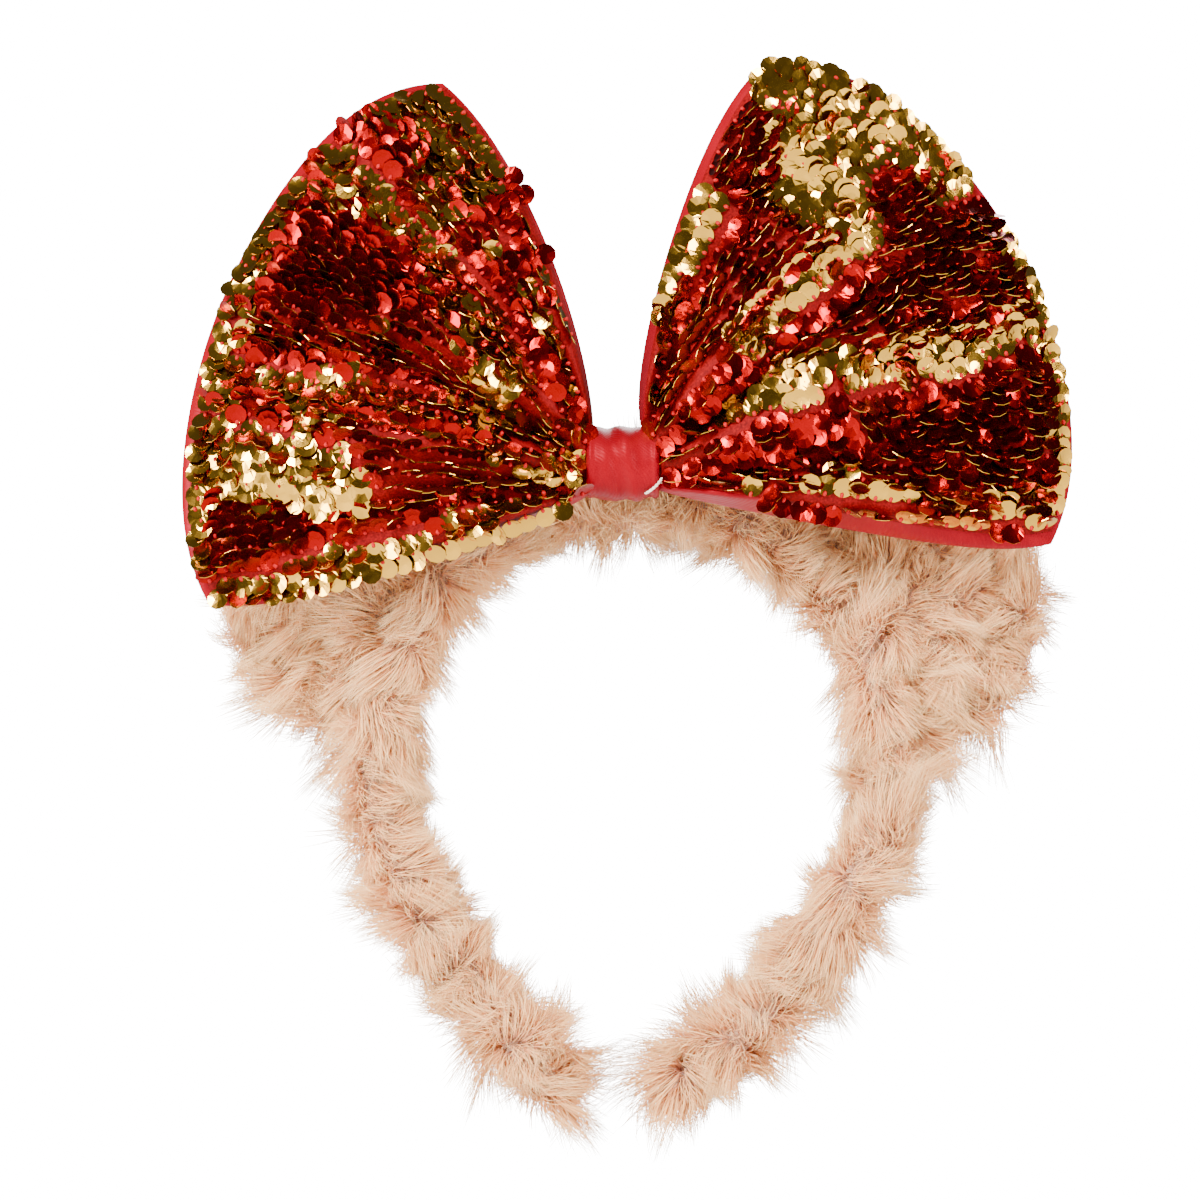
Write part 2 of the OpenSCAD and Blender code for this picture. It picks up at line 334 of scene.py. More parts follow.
SLEEVE_HALF = (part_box("plush_sleeve_crown")[1].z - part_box("band_strip_crown")[1].z) + 1 * MM
STRIP_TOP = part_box("band_strip_crown")[1].z
CROWN_MID = STRIP_TOP - 1 * MM                         # the strip is 2 mm thick
OUTER_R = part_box("plush_sleeve_right")[1].x
CROWN_R = OUTER_R - SLEEVE_HALF
ARC_Z = CROWN_MID - CROWN_R
SHOULDER = math.radians(29.5)
LEAN = math.radians(3)
LEG_R = 220 * MM
LEG_LEN = 62 * MM
BACKING_T = 3.7 * MM                                   # half the covered band's thickness
BACKING_W = 8.7 * MM                                   # and half its width


def half_band(side, steps=240):
    """Middle of the band from the crown to one tip: points and outward directions."""
    turn = SHOULDER + side * LEAN
    crown_len = CROWN_R * (math.pi / 2 + turn)
    s = np.linspace(0, crown_len + LEG_LEN, steps)
    on_crown = s < crown_len
    a = np.where(on_crown, math.pi / 2 - s / CROWN_R, -turn - (s - crown_len) / LEG_R)
    r = np.where(on_crown, CROWN_R, LEG_R)
    mid = (CROWN_R - LEG_R) * np.array([math.cos(-turn), math.sin(-turn)])
    off = np.where(on_crown[:, None], 0, mid)
    out = np.stack([side * np.cos(a), np.zeros_like(a), np.sin(a)], 1)
    points = np.stack([side * (off[:, 0] + r * np.cos(a)), np.zeros_like(a),
                       ARC_Z + off[:, 1] + r * np.sin(a)], 1)
    return s, points, out


PATH = {side: half_band(side) for side in (LEFT, RIGHT)}


def on_path(side, s):
    """Point, outward direction and direction towards the tip, at distance s from the crown."""
    table, points, out = PATH[side]
    p = np.stack([np.interp(s, table, points[:, k]) for k in range(3)], -1)
    n = unit(np.stack([np.interp(s, table, out[:, k]) for k in range(3)], -1))
    t = np.stack([n[..., 2] * side, np.zeros(np.shape(s)), -n[..., 0] * side], -1)
    return p, n, t


def stadium(half_t, half_w, q):
    """Point and normal round a flat oval section, at share q of the way round. Outward first, then depth."""
    straight = 2 * (half_w - half_t)
    bend = math.pi * half_t
    total = 2 * (straight + bend)
    d = np.mod(q, 1) * total
    x = np.zeros_like(d)
    y = np.zeros_like(d)
    nx = np.zeros_like(d)
    ny = np.zeros_like(d)
    for k, sign in ((0, 1), (1, -1)):                  # the flat side and the bend after it
        e = d - k * (straight + bend)
        flat = (e >= 0) & (e < straight)
        x = np.where(flat, sign * half_t, x)
        y = np.where(flat, sign * (e - straight / 2), y)
        nx = np.where(flat, sign, nx)
        turn = (e >= straight) & (e <= straight + bend)
        a = (e - straight) / half_t
        x = np.where(turn, sign * half_t * np.cos(a), x)
        y = np.where(turn, sign * (straight / 2 + half_t * np.sin(a)), y)
        nx = np.where(turn, sign * np.cos(a), nx)
        ny = np.where(turn, sign * np.sin(a), ny)
    return x, y, nx, ny


def sweep_half(name, side, half_t, half_w, material, end, wobble=0.0):
    """A tube, strip or wrap along half of the band, from the crown to end past the path, rounded there."""
    rings, around = 90, 36
    total = PATH[side][0][-1] + end
    body = np.linspace(0, total, rings)
    cap = total + half_t * np.sin(np.linspace(0, math.pi / 2, 8))[1:]
    s = np.concatenate([body, cap])
    shrink = np.sqrt(np.clip(1 - (np.clip(s - total, 0, half_t) / half_t) ** 2, 0.0004, 1))
    q = np.arange(around) / around
    x, y, _, _ = stadium(half_t, half_w, q)
    p, n, t = on_path(side, np.minimum(s, PATH[side][0][-1]))
    p = p + t * np.maximum(s - PATH[side][0][-1], 0)[:, None]
    wide = 1 - (1 - shrink) * half_t / half_w
    verts = p[:, None] + n[:, None] * (x[None] * shrink[:, None])[..., None]
    verts[..., 1] += y[None] * wide[:, None]
    if wobble:
        lift = Noise(5, 9 * MM)(verts) * wobble
        verts += n[:, None] * (lift * np.sign(x)[None])[..., None]
    faces = grid_faces(len(s), around, closed=True).tolist()
    faces.append(list(range(around - 1, -1, -1)))
    last = (len(s) - 1) * around
    faces.append(list(range(last, last + around)))
    if side == RIGHT:
        faces = [f[::-1] for f in faces]
    return mesh_object(name, verts.reshape(-1, 3), faces, material)


def bend_with_leg(obj):
    """The piece's transform is baked into its mesh; the piece is not bent."""
    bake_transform(obj)


def build_band_core():
    """The plastic strip, its foam and the plush's backing, in two halves that meet at the crown."""
    for side in (LEFT, RIGHT):
        name = SIDE_NAME[side]
        crown = side == LEFT                           # the left halves also stand for the crown's nodes
        strip = sweep_half(f"strip_{name}", side, 1.0 * MM, 6.0 * MM, STRIP, -2 * MM)
        foam = sweep_half(f"foam_{name}", side, 2.7 * MM, 7.7 * MM, FOAM, -1 * MM)
        sleeve = sweep_half(f"sleeve_{name}", side, BACKING_T, BACKING_W, BACKING, 0, wobble=0.25 * MM)
        for piece, node, slot in ((strip, "band_strip", "strip"), (foam, "band_foam", "foam"),
                                  (sleeve, "plush_sleeve", "plush")):
            bend_with_leg(piece)
            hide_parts(f"{node}_{name}", *([f"{node}_crown"] if crown else []))


build_band_core()


# ---------------------------------------------------------------- pile

STRAND_SEGMENTS = 4
STRAND_R = 0.11 * MM
MOST_STRANDS = 9000                                    # in one piece


def strand_mesh(name, curve, seed):
    """Closed, tapering, three-sided fibres. curve is (fibres, STRAND_SEGMENTS + 1, 3)."""
    count, steps, _ = curve.shape
    rng = np.random.default_rng(seed)
    tangent = unit(np.gradient(curve, axis=1))
    side_a = unit(np.cross(tangent, unit(rng.normal(size=(count, 1, 3)))))
    side_b = np.cross(tangent, side_a)
    t = np.linspace(0, 1, steps)
    levels = steps - 1
    width = (STRAND_R * (1 - 0.72 * t[:-1] ** 1.6))[None] * rng.uniform(0.75, 1.25, (count, 1))
    corner = [2 * math.pi * k / 3 for k in range(3)]
    spoke = [math.cos(a) * side_a[:, :-1] + math.sin(a) * side_b[:, :-1] for a in corner]
    ring = np.stack([curve[:, :-1] + s * width[..., None] for s in spoke], 2)
    verts = np.concatenate([ring.reshape(count, levels * 3, 3), curve[:, -1:]], 1)
    faces, along = [(2, 1, 0)], [(0, 0, 0)]
    for i in range(levels):
        for k in range(3):
            a, b = i * 3 + k, i * 3 + (k + 1) % 3
            if i < levels - 1:
                faces += [(a, b, b + 3), (a, b + 3, a + 3)]
                along += [(t[i], t[i], t[i + 1]), (t[i], t[i + 1], t[i + 1])]
            else:
                faces.append((a, b, levels * 3))
                along.append((t[i], t[i], 1))
    every = (np.array(faces)[None] + (np.arange(count) * (levels * 3 + 1))[:, None, None]).reshape(-1, 3)
    pick = np.repeat(rng.uniform(0.02, 0.98, count), len(faces) * 3)
    uv = np.stack([pick, 0.01 + 0.98 * np.tile(np.array(along, float).ravel(), count)], 1)
    return mesh_object(name, verts.reshape(-1, 3), every, PILE, uv=uv)


BEND = [Noise(14 + k, 8 * MM) for k in range(3)]       # the way that tufts bend


def comb(root, normal, lay, length, seed, stand=0.68, per_tuft=36, pull=0.52):
    """Curves of fibres that rise from root, lean over along lay, and gather into tufts."""
    rng = np.random.default_rng(seed)
    count = len(root)
    t = np.linspace(0, 1, STRAND_SEGMENTS + 1)[None, :, None]
    lay = unit(lay - (lay * normal).sum(-1, keepdims=True) * normal)
    lean = np.clip(stand + rng.normal(0, 0.09, count), 0.2, 0.97)[:, None, None]
    rise = normal[:, None] * lean * (1.3 * t - 0.3 * t ** 2)
    over = lay[:, None] * np.sqrt(1 - lean ** 2) * (0.3 * t + 0.7 * t ** 2)
    curl = rng.normal(0, 0.14, (count, 1, 3)) * t ** 1.4
    bend = np.stack([field(root) for field in BEND], -1)[:, None] * 0.34 * t ** 2
    curve = root[:, None] + (rise + over + curl + bend) * length[:, None, None]
    chosen = rng.permutation(count)[:max(1, count // per_tuft)]
    tree = kdtree.KDTree(len(chosen))
    for k, c in enumerate(chosen):
        tree.insert(root[c], k)
    tree.balance()
    near = chosen[[tree.find(p)[1] for p in root]]
    target = curve[near] + (root - root[near])[:, None] * 0.3
    weight = pull * rng.uniform(0.6, 1.1, (count, 1, 1)) * t ** 1.3
    return curve * (1 - weight) + target * weight


SWIRL_A = Noise(11, 30 * MM)
SWIRL_B = Noise(12, 27 * MM)
LENGTH_NOISE = Noise(13, 12 * MM)
BOW_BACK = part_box("bow_left_back")[1].y                # no pile in front of this, behind the lobes
PILE_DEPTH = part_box("plush_sleeve_left")[1].y          # past this, pile is brushed flatter


def swirl(p, along, across, bias=0.35):
    """Lay of the pile: it turns about over the surface, in swirls a few centimetres wide."""
    angle = np.arctan2(SWIRL_B(p), SWIRL_A(p) + bias)
    return along * np.cos(angle)[:, None] + across * np.sin(angle)[:, None]


def groom(curve):
    """Pile is brushed flatter front and back, and pressed back where it is under the bow."""
    y = curve[..., 1]
    over = np.maximum(np.abs(y) - PILE_DEPTH, 0)
    y = y - np.sign(y) * over * 0.6
    limit = BOW_BACK + 2 * MM
    curve[..., 1] = np.where(curve[..., 2] > -4 * MM, np.where(y < limit, limit + (y - limit) * 0.08, y), y)
    return curve


def band_pile(side, count, seed):
    """Roots, normals and lay over one half of the band, its round tip too."""
    rng = np.random.default_rng(seed)
    end = PATH[side][0][-1]
    tip = BACKING_T * math.pi / 2
    s = rng.uniform(-1 * MM, end + tip * 0.9, count)
    q = rng.uniform(0, 1, count)
    x, y, nx, ny = stadium(BACKING_T, BACKING_W, q)
    turn = np.clip((s - end) / BACKING_T, 0, math.pi / 2)
    p, n, t = on_path(side, np.clip(s, 0, end))
    p = p + t * np.where(s < 0, s, BACKING_T * np.sin(turn))[:, None]
    normal = n * nx[:, None]
    normal[:, 1] += ny
    root = p + n * (x * np.cos(turn))[:, None]
    root[:, 1] += y * (1 - (1 - np.cos(turn)) * BACKING_T / BACKING_W)
    normal = unit(normal * np.cos(turn)[:, None] + t * np.sin(turn)[:, None])
    across = np.cross(normal, t)
    lay = swirl(root, t, across)
    return root, normal, lay, s


def under_knot(root, pad):
    """True where the felt pad and the knot press on the band."""
    lo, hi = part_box("backing_felt")
    return ((root[:, 0] > lo.x - pad) & (root[:, 0] < hi.x + pad) & (root[:, 1] < 0)
            & (root[:, 2] > lo.z - pad) & (root[:, 2] < hi.z + pad))


BAND_STRANDS = 34000                                   # on each half
BAND_PILE = 11.0 * MM
EAR_STRANDS = 18000                                    # on each ear
EAR_PILE = 8.8 * MM


def fullness(side, share, outward):
    """How much longer the pile is, at a share of the way to the tip and facing outward or inward."""
    outer, inner = np.clip(outward, 0, 1), np.clip(-outward, 0, 1)
    mid = smooth(0.5, 0.68, share) * smooth(0.97, 0.86, share)
    tip = smooth(0.86, 0.98, share)
    if side == LEFT:
        return 1 + 0.2 * smooth(0.55, 0.9, share) + mid * (0.18 * outer - 0.42 * inner)
    return (1 + 0.1 * smooth(0.55, 0.9, share) + mid * (0.12 * outer - 0.45 * inner)
            + tip * (0.4 * inner - 0.55 * outer))


def with_underfur(lay, length, rng):
    """A third of the fibres are a short, dense underfur that lies every way."""
    under = rng.uniform(0, 1, len(length)) < 0.33
    lay = np.where(under[:, None], unit(rng.normal(size=lay.shape)), lay)
    return lay, np.where(under, length * 0.66, length)


def build_band_pile(side):
    """The pile over one half of the band, in pieces from the crown to the tip."""
    name = SIDE_NAME[side]
    root, normal, lay, s = band_pile(side, BAND_STRANDS, 21 + side)
    keep = ~under_knot(root, 0.5 * MM)
    root, normal, lay, s = root[keep], normal[keep], lay[keep], s[keep]
    rng = np.random.default_rng(31 + side)
    length = BAND_PILE * (1 + 0.10 * LENGTH_NOISE(root)) * rng.uniform(0.86, 1.12, len(root))
    length *= fullness(side, s / PATH[side][0][-1], normal @ np.array([side, 0, 0]))
    lay, length = with_underfur(lay, length, rng)
    curve = groom(comb(root, normal, lay, length, 41 + side))
    order = np.argsort(s)
    parts = np.array_split(order, math.ceil(len(order) / MOST_STRANDS))
    for k, part in enumerate(parts):
        piece = strand_mesh(f"pile_band_{name}_{k + 1}", curve[part], 51 + k)
        bend_with_leg(piece)


# ---------------------------------------------------------------- ears

EAR_R = 35 * MM                                        # over the pile, as in the frame
EAR_DROOP = {LEFT: 1.5 * MM, RIGHT: 5 * MM}            # how much lower the ears hang than the frame's
EAR_PANEL_R = 30.5 * MM
EAR_PANEL_T = 6.5 * MM


def ear_middle(side):
    lo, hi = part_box(f"ear_{SIDE_NAME[side]}_front")
    outer = hi.x if side == RIGHT else lo.x
    return np.array([outer - side * EAR_R, 0, hi.z - EAR_R - EAR_DROOP[side]])


EAR_MID = {side: ear_middle(side) for side in (LEFT, RIGHT)}


def ear_panel(name, side, face, depth, radius, material):
    """A rounded panel of one ear: a domed disc from the seam, closed across the seam's plane."""
    rings, around = 22, 72
    a = np.linspace(0.02, math.pi / 2, rings)
    th = np.arange(around) * 2 * math.pi / around
    wave = 1 + 0.012 * np.sin(3 * th + side) + 0.008 * np.sin(7 * th)
    r = radius * np.sin(a)[:, None] * wave[None]
    y = depth * np.cos(a) ** 0.8
    x = EAR_MID[side][0] + r * np.cos(th)[None]
    z = EAR_MID[side][2] + r * np.sin(th)[None]
    verts = np.stack([x, np.broadcast_to((face * y)[:, None], x.shape), z], -1).reshape(-1, 3)
    verts[:, 1] += face * 0.35 * MM * Noise(61, 10 * MM)(verts) * (np.abs(verts[:, 1]) > 0.5 * MM)
    spoke = verts[:, [0, 2]] - [0, ARC_Z]              # the ear is trimmed to sit on the band
    reach = np.linalg.norm(spoke, axis=1, keepdims=True)
    verts[:, [0, 2]] = [0, ARC_Z] + spoke / reach * np.maximum(reach, CROWN_R + BACKING_T + 1 * MM)
    faces = grid_faces(rings, around, closed=True).tolist()
    faces.append(list(range(around))[::-1])
    faces.append(list(range((rings - 1) * around, rings * around)))
    if face == -1:
        faces = [f[::-1] for f in faces]
    return mesh_object(name, verts, faces, material)


def bend_with_ear(obj):
    """The piece's transform is baked into its mesh; the ear is not tipped."""
    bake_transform(obj)


def build_ear(side):
    """One ear: front and back panels, the fibre between them, and the pile."""
    name = SIDE_NAME[side]
    for face, word in ((-1, "front"), (1, "back")):
        panel = ear_panel(f"ear_{name}_{word}_panel", side, face, EAR_PANEL_T, EAR_PANEL_R, BACKING)
        bend_with_ear(panel)
        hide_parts(f"ear_{name}_{word}")
    stuffing = ear_panel(f"ear_{name}_fibre", side, 1, EAR_PANEL_T - 1.5 * MM, EAR_PANEL_R - 2 * MM, FIBRE)
    bend_with_ear(stuffing)
    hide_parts(f"ear_{name}_stuffing")

    rng = np.random.default_rng(71 + side)
    count = EAR_STRANDS * 2
    share = np.sqrt(rng.uniform(0, 1, count))
    th = rng.uniform(0, 2 * math.pi, count)
    face = rng.choice([-1, 1], count)
    bulge = np.sqrt(np.clip(1 - share ** 2, 0, 1))
    root = np.stack([EAR_MID[side][0] + EAR_PANEL_R * share * np.cos(th), face * EAR_PANEL_T * bulge,
                     EAR_MID[side][2] + EAR_PANEL_R * share * np.sin(th)], -1)
    radial = np.stack([np.cos(th), 0 * th, np.sin(th)], -1)
    normal = unit(radial * (share / EAR_PANEL_R)[:, None]
                  + np.stack([0 * th, face * bulge / EAR_PANEL_T, 0 * th], -1))
    from_band = np.hypot(root[:, 0], root[:, 2] - ARC_Z)
    keep = np.flatnonzero(from_band > CROWN_R + BACKING_T + 2 * MM)
    edge = rng.uniform(0, 1, len(keep)) < 0.55 + 0.45 * share[keep] ** 3
    keep = keep[edge][:EAR_STRANDS]
    root, normal, radial = root[keep], normal[keep], radial[keep]
    outward = unit(np.stack([root[:, 0], 0 * root[:, 0], root[:, 2] - ARC_Z], -1))
    lay = swirl(root, unit(outward + 0.6 * radial), np.cross(normal, outward), bias=1.3)
    length = EAR_PILE * (1 + 0.10 * LENGTH_NOISE(root)) * rng.uniform(0.86, 1.12, len(root))
    length *= 1 + (0.25 if side == LEFT else 0.5) * smooth(-2 * MM, -24 * MM, root[:, 2] - EAR_MID[side][2])
    lay, length = with_underfur(lay, length, rng)
    curve = groom(comb(root, normal, lay, length, 81 + side, stand=0.62))
    for k, part in enumerate(np.array_split(np.argsort(root[:, 2]), math.ceil(len(root) / MOST_STRANDS))):
        piece = strand_mesh(f"pile_ear_{name}_{k + 1}", curve[part], 91 + k)
        bend_with_ear(piece)


# ---------------------------------------------------------------- bow

KNOT_LO, KNOT_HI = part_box("knot_wrap")
KNOT = np.array((KNOT_LO + KNOT_HI) / 2)
KNOT_R = (KNOT_HI.z - KNOT_LO.z) / 2
KNOT_HALF = (KNOT_HI.x - KNOT_LO.x) / 2
EDGE_PLANE = KNOT[1] - 2 * MM                          # depth of a lobe's sewn edge
PUFF_FRONT = 15 * MM
PUFF_BACK = 6 * MM
PLEAT = 6.8 * MM
LOBE_SPAN_MM = 100.0                                   # a lobe's length and breadth, near enough
# In mm: each lobe's low outer corner and top corner, in X and Z, and how far its edges bulge
LOBE = {
    LEFT: dict(low=(-102, -17), top=(-48, 113), sag=23.0, low_bulge=4.8, inner_bulge=8, inner_power=0.8),
    RIGHT: dict(low=(99, -4), top=(34.5, 116), sag=25.5, low_bulge=2.3, inner_bulge=10.5, inner_power=0.45),
}
# How far the sequin panel stops short of the lobe's outer, lower and inner edges, in mm
SATIN_EDGE = {LEFT: (2.4, 1.2, 0.4), RIGHT: (1.4, 2.4, 1.4)}
# Where the gold faces are turned out: lines in a lobe's own (out, across) coordinates, and half widths in mm
GOLD_BANDS = {
    LEFT: [
        ([(0.72, 0.92), (0.85, 0.97), (0.98, 0.95)], 8.5),
        ([(0.97, 0.06), (0.97, 0.7)], 4.5),
        ([(0.92, 0.79), (0.71, 0.76), (0.52, 0.76), (0.34, 0.69), (0.27, 0.62)], 4.2),
        ([(0.92, 0.37), (0.59, 0.40), (0.38, 0.42), (0.21, 0.43), (0.02, 0.47)], 4.4),
        ([(0.64, 0.20), (0.94, 0.25)], 8.0),
        ([(0.98, 0.02), (0.65, 0.04), (0.38, 0.03), (0.12, 0.09)], 3.2),
        ([(0.02, 0.97), (0.52, 0.97)], 3.2),
    ],
    RIGHT: [
        ([(0.76, 0.80), (0.92, 0.84)], 12.0),
        ([(0.98, 0.66), (0.95, 0.95)], 7.0),
        ([(0.03, 0.95), (0.57, 0.95)], 3.4),
        ([(0.66, 0.81), (0.71, 0.66), (0.58, 0.66), (0.36, 0.64)], 3.8),
        ([(0.21, 0.45), (0.50, 0.39), (0.67, 0.35), (0.93, 0.35)], 4.2),
        ([(0.99, 0.0), (0.99, 0.5)], 3.2),
        ([(0.43, 0.1), (0.52, 0.04), (0.69, 0.04), (0.89, 0.07), (0.99, 0.01)], 3.2),
    ],
}
WRINKLE = Noise(101, 22 * MM)
CRUMPLE = Noise(102, 9 * MM)


def blend2(a, b, t):
    return a * (1 - t[..., None]) + b * t[..., None]


def lobe_plan(side, u, v):
    """X and Z of a lobe's point: u goes out from the knot, and v up from the lower edge."""
    spec = LOBE[side]
    u = np.asarray(u, float)
    v = np.asarray(v, float)
    u = u * (1 - (0.035 + 0.04 * v) * np.abs(2 * v - 1) ** 7 * smooth(0.5, 1, u))
    v = 0.5 + (v - 0.5) * (1 - 0.05 * np.clip(u, 0, 1) ** 9)
    low, top = (np.array(spec[k]) * MM for k in ("low", "top"))
    edge = unit(top - low)
    outward = np.array([side * edge[1], -side * edge[0]])
    base = np.stack([np.full(u.shape, KNOT[0] + side * (KNOT_HALF - 1.5 * MM)),
                     KNOT[2] + (v - 0.5) * 1.15 * KNOT_R], -1)
    sag = spec["sag"] * MM * np.clip(4 * v * (1 - v), 0, 1) ** 0.8
    outer = blend2(low, top, v) + sag[..., None] * outward
    d = unit(outer - base)
    hump = np.clip(4 * u * (1 - u), 0, 1)
    lift = (spec["inner_bulge"] * v * hump ** spec["inner_power"]
            - spec["low_bulge"] * (1 - v) * hump ** 0.35) * MM
    return blend2(base, outer, u) + lift[..., None] * np.stack([-side * d[..., 1], side * d[..., 0]], -1)


def swell(u, v):
    """How full the stuffed lobe is at (u, v), from 0 at its edges to 1."""
    open_up = 0.2 + 0.8 * np.sin(np.pi / 2 * np.clip(2 * u, 0, 1))
    return np.sqrt(np.clip(4 * v * (1 - v), 0, 1)) * np.sqrt(np.clip(1 - u ** 3, 0, 1)) * open_up


def pleats(side, u, v):
    """Gathers that fan out from the knot: round ridges with sharp grooves between them."""
    shift = 0.035 * np.sin(5 * u + 2 * side)
    ridge = np.sqrt(np.cos(3 * np.pi * (v + shift)) ** 2 + 0.015)
    fade = smooth(0.0, 0.16, u) * np.clip(1 - u, 0, 1) ** 1.1 * smooth(0, 0.06, v) * smooth(0, 0.06, 1 - v)
    return PLEAT * (2 * ridge - 1) * fade


def lobe_front(side, u, v, lift=0.0):
    """Points of a lobe's front, lifted off it towards the front."""
    xz = lobe_plan(side, u, v)
    flat = np.stack([xz[..., 0], np.zeros_like(xz[..., 0]), xz[..., 1]], -1)
    soft = np.sqrt(np.clip(4 * v * (1 - v), 0, 1)) * smooth(0, 0.3, u) * smooth(0, 0.12, 1 - u)
    bumps = (WRINKLE(flat) * 1.5 + CRUMPLE(flat) * 0.4) * MM * soft
    y = EDGE_PLANE - 0.6 * MM - PUFF_FRONT * swell(u, v) * 0.93 - pleats(side, u, v) + bumps - lift
    return np.stack([xz[..., 0], y, xz[..., 1]], -1)


def lobe_back(side, u, v, lift=0.0):
    xz = lobe_plan(side, u, v)
    flat = np.stack([xz[..., 0], np.ones_like(xz[..., 0]), xz[..., 1]], -1)
    soft = np.sqrt(np.clip(4 * v * (1 - v), 0, 1)) * smooth(0, 0.2, u) * smooth(0, 0.1, 1 - u)
    y = (EDGE_PLANE + 0.6 * MM + PUFF_BACK * swell(u, v) * 0.9 + 0.25 * pleats(side, u, v)
         + (WRINKLE(flat) * 0.7 + CRUMPLE(flat) * 0.35) * MM * soft + lift)
    return np.stack([xz[..., 0], y, xz[..., 1]], -1)


def round_steps(n):
    """0 to 1 with closer steps at both ends."""
    return 0.5 - 0.5 * np.cos(np.linspace(0, math.pi, n))


def two_skins(name, side, front, back, material):
    """A closed piece of two grids of points, front and back, joined along their rims."""
    rows, cols = front.shape[:2]
    n = rows * cols
    f = grid_faces(rows, cols)
    ids = np.arange(n).reshape(rows, cols)
    rim = np.concatenate([ids[:-1, 0], ids[-1, :-1], ids[:0:-1, -1], ids[0, :0:-1]])
    nxt = np.roll(rim, -1)
    faces = f[:, ::-1].tolist() + (f + n).tolist() + np.stack([rim, rim + n, nxt + n, nxt], -1).tolist()
    if side == LEFT:
        faces = [x[::-1] for x in faces]
    return mesh_object(name, np.concatenate([front.reshape(-1, 3), back.reshape(-1, 3)]), faces, material)


def closed_lobe(name, side, material, inset_mm, front_lift, back_lift, rows=64, cols=72):
    """A stuffed lobe as one closed skin: front and back panels that meet along a rounded edge."""
    inset = inset_mm / LOBE_SPAN_MM
    u = inset * 0.3 + round_steps(rows) * (1 - 1.3 * inset)
    v = inset + round_steps(cols) * (1 - 2 * inset)
    uu, vv = np.meshgrid(u, v, indexing="ij")
    front = lobe_front(side, uu, vv, front_lift)
    back = lobe_back(side, uu, vv, back_lift)
    return two_skins(name, side, front, back, material)


def bend_with_bow(obj):
    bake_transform(obj)


SEQUIN_R = 2.55 * MM
SEQUIN_HOLE = 0.42 * MM
HOLE_AT = 1.75 * MM                                    # from a sequin's middle to its hole
SEQUIN_THICK = 0.12 * MM
ROWS = 56
IN_ROW = 3.9 * MM
CLOSEST_ROWS = 1.7 * MM


def near_band(side, u, v):
    """Distance in mm from (u, v) to each gold band, less its half width: the smallest of them."""
    best = np.full(np.shape(u), 99.0)
    here = lobe_plan(side, u, v) / MM
    for line, half in GOLD_BANDS[side]:
        pts = np.array(line)
        fine = np.concatenate([np.linspace(a, b, 12) for a, b in zip(pts[:-1], pts[1:])])
        spots = lobe_plan(side, fine[:, 0], fine[:, 1]) / MM
        gap = np.linalg.norm(here[:, None] - spots[None], axis=-1).min(1) - half
        best = np.minimum(best, gap)
    return best


def panel_edges(side, u):
    """Lower and upper limits of the sequin panel at each u, as v."""
    _, low, inner = SATIN_EDGE[side]
    across = lobe_plan(side, u, np.ones_like(u)) - lobe_plan(side, u, np.zeros_like(u))
    height = np.linalg.norm(across, axis=-1) / MM
    return np.clip(low / height, 0, 0.2), 1 - np.clip(inner / height, 0, 0.2)


def panel_out(side, v):
    """How far out the sequin panel goes at each v, as u."""
    outer = SATIN_EDGE[side][0]
    wave = 1 + 0.35 * np.sin(9 * v + side) * np.sin(4 * v)
    return 1 - outer * wave / (1.05 * LOBE_SPAN_MM)


def sequin_places(side):
    """(u, v) of every sequin's stitch, in rows that fan out from the knot and thin out where they crowd."""
    rng = np.random.default_rng(111 + side)
    us, vs = [], []
    for i in range(ROWS):
        v0 = 0.012 + 0.976 * i / (ROWS - 1)
        u = np.linspace(0.03, float(panel_out(side, np.array([v0]))[0]) - 0.004, 400)
        lo, hi = panel_edges(side, u)
        v = lo + (hi - lo) * v0
        p = lobe_front(side, u, v)
        gap = np.linalg.norm(lobe_plan(side, u, hi) - lobe_plan(side, u, lo), axis=-1) / (ROWS - 1)
        stride = 2.0 ** np.ceil(np.log2(np.maximum(1, CLOSEST_ROWS / gap)))
        shown = (i % stride) == 0
        run = np.concatenate([[0], np.cumsum(np.linalg.norm(np.diff(p, axis=0), axis=1))])
        place = np.arange(run[-1] - (0.5 if i % 2 else 1.0) * IN_ROW * 0.5, 0, -IN_ROW)
        place = place + rng.normal(0, 0.22 * MM, len(place))
        here = np.interp(place, run, u)
        keep = np.interp(place, run, shown.astype(float)) > 0.5
        us.append(here[keep])
        vs.append(np.interp(place, run, v)[keep])
    return np.concatenate(us), np.concatenate(vs)


def frames_on_front(side, u, v):
    """Point, outward direction, across direction and normal on a lobe's front."""
    h = 0.006
    p = lobe_front(side, u, v)
    du = unit(lobe_front(side, np.minimum(u + h, 1), v) - lobe_front(side, np.maximum(u - h, 0), v))
    dv = lobe_front(side, u, np.minimum(v + h, 1)) - lobe_front(side, u, np.maximum(v - h, 0))
    normal = unit(np.cross(du, dv) * -side)
    normal = np.where(normal[:, 1:2] > 0, -normal, normal)
    return p, du, unit(np.cross(normal, du)), normal


